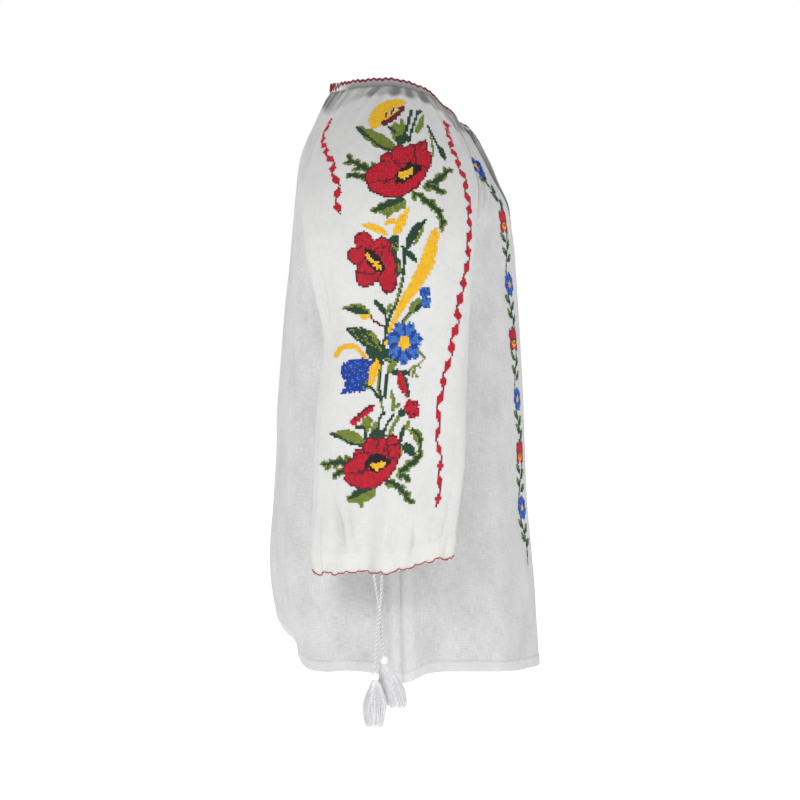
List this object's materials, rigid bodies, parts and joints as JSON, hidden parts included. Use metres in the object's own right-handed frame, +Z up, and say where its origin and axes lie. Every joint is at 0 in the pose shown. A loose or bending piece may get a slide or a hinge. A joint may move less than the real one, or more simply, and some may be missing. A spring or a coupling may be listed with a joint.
{
  "type": "blouse",
  "caption": "Embroidered linen blouse with raglan sleeves gathered into a narrow neck band, a front slit and drawstring cuffs with tassels, filled out as if worn.",
  "frame": {"origin": "on the wearer's centre line between the shoulders, just under the neck band, where the blouse rests on its wearer", "axes": "+Z up; the front of the blouse faces -Y; the wearer's right side is -X"},
  "size_m": [0.5742, 0.2952, 0.6754],
  "materials": {
    "linen": "thin plain-weave white linen, slightly see-through, matt",
    "neck_band": "white linen folded double, with red zigzag stitching",
    "cotton_cord": "white twisted cotton cord",
    "tassel_thread": "loose white cotton threads, soft sheen",
    "red_thread": "bright red embroidery cotton in cross-stitch, soft sheen",
    "wine_thread": "dark wine-red embroidery cotton",
    "yellow_thread": "golden yellow embroidery cotton",
    "dark_green_thread": "dark teal-green embroidery cotton",
    "light_green_thread": "light olive-green embroidery cotton",
    "blue_thread": "royal-blue embroidery cotton",
    "light_blue_thread": "light-blue embroidery cotton",
    "black_thread": "near-black embroidery cotton"
  },
  "bodies": {
    "root": {"front_panel": "linen", "back_panel": "linen", "sleeve_right": "linen", "sleeve_left": "linen", "neck_band": "neck_band", "drawstring_right_1": "cotton_cord", "drawstring_right_2": "cotton_cord", "drawstring_left_1": "cotton_cord", "drawstring_left_2": "cotton_cord", "tassel_right_1": "tassel_thread", "tassel_right_2": "tassel_thread", "tassel_left_1": "tassel_thread", "tassel_left_2": "tassel_thread"}
  },
  "joints": []
}
